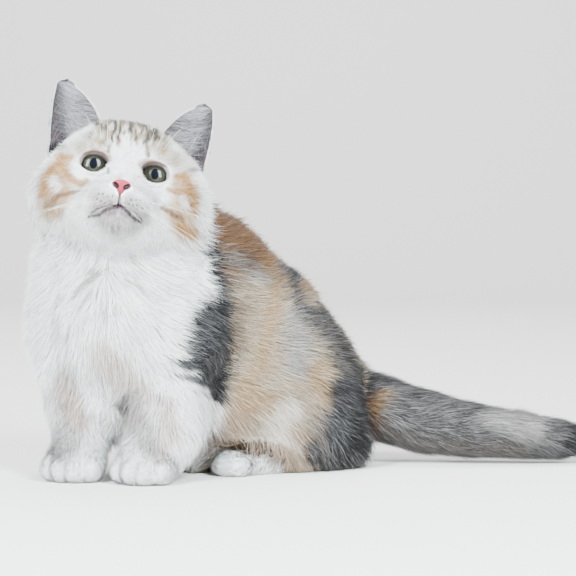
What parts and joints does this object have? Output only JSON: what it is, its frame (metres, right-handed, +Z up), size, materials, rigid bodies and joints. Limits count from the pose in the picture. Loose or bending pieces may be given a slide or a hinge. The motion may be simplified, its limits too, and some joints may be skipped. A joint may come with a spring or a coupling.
{
  "type": "munchkin cat",
  "caption": "Young short-legged longhaired cat, sitting upright with its head raised and its tail laid along the floor. A still model of a live animal.",
  "frame": {"origin": "centre of the bounding box's bottom face, on the floor", "axes": "+X along the tail, which is the viewer's right; +Y away from the viewer, whom the cat faces; +Z up"},
  "size_m": [0.3948, 0.2036, 0.2546],
  "materials": {
    "white_coat": "long soft fur, white",
    "cream_coat": "long soft fur, cream and ginger with grey ticking",
    "grey_coat": "long soft fur, black and silver ticking",
    "nose_leather": "fine grained, slightly damp",
    "eye": "wet and glossy, grey-green iris"
  },
  "bodies": {
    "root": {"head": "white_coat", "nose": "nose_leather", "eye_left": "eye", "ear_left": "cream_coat", "eye_right": "eye", "ear_right": "cream_coat", "tail_base": "grey_coat", "tail_middle": "grey_coat", "tail_tip": "grey_coat", "neck": "white_coat", "chest": "white_coat", "torso": "cream_coat", "hips": "grey_coat", "foreleg_left": "white_coat", "forepaw_left": "white_coat", "thigh_left": "cream_coat", "hind_foot_left": "white_coat", "foreleg_right": "white_coat", "forepaw_right": "white_coat", "thigh_right": "cream_coat", "hind_foot_right": "white_coat"}
  },
  "joints": []
}
